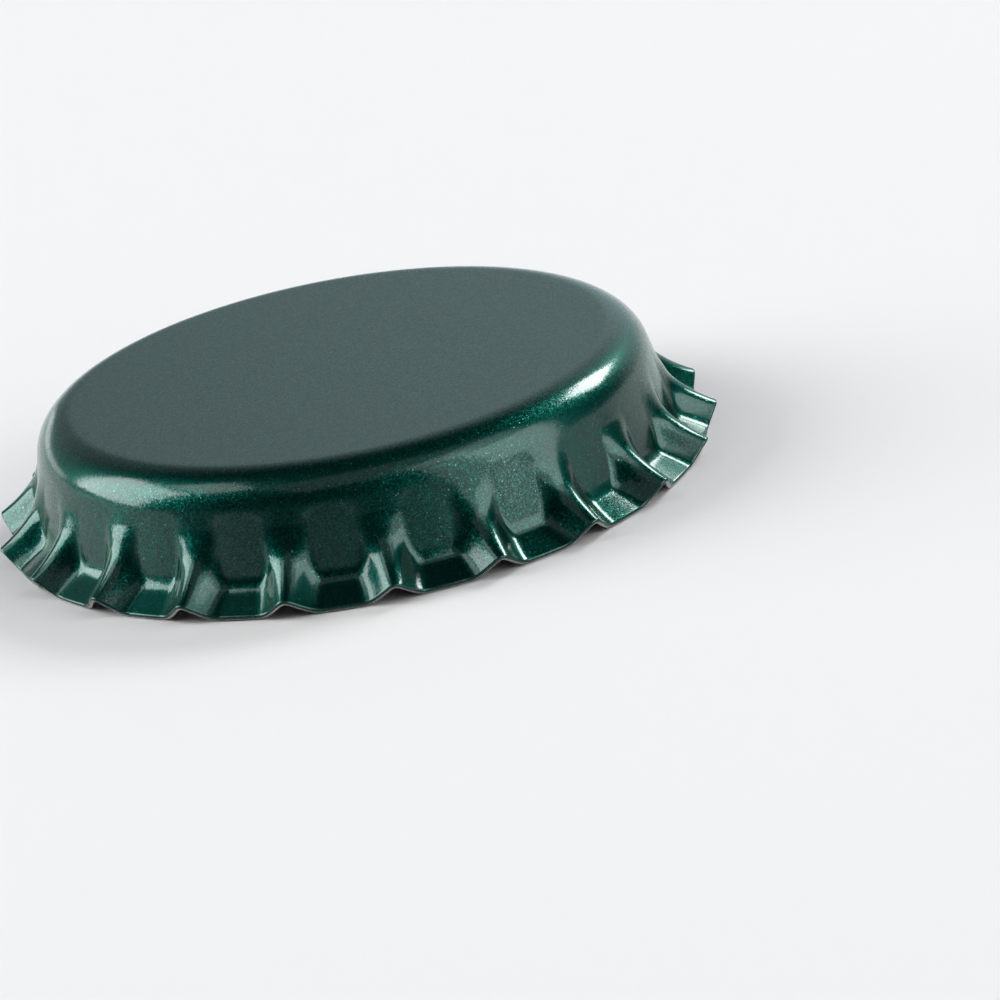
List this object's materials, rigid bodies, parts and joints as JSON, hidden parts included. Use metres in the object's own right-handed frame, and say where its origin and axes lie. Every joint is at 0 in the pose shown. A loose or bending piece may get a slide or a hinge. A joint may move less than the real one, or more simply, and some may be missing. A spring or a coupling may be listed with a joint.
{
  "type": "crown cap",
  "caption": "Pry-off crown cap for a glass bottle: pressed metal shell with a fluted skirt and a soft sealing liner inside the top.",
  "frame": {"origin": "on the cap's axis at the level of the skirt's lips, on which it stands", "axes": "+Z along the cap's axis out of its flat top, +X through the crest of the first flute"},
  "size_m": [0.0319, 0.032, 0.0057],
  "materials": {
    "shell": "deep green metal-flake lacquer outside, satin tinplate inside, bare steel on the cut edge",
    "liner": "satin, slightly translucent light grey sealing compound"
  },
  "bodies": {
    "root": {"crown_shell": "shell", "liner": "liner"}
  },
  "joints": []
}
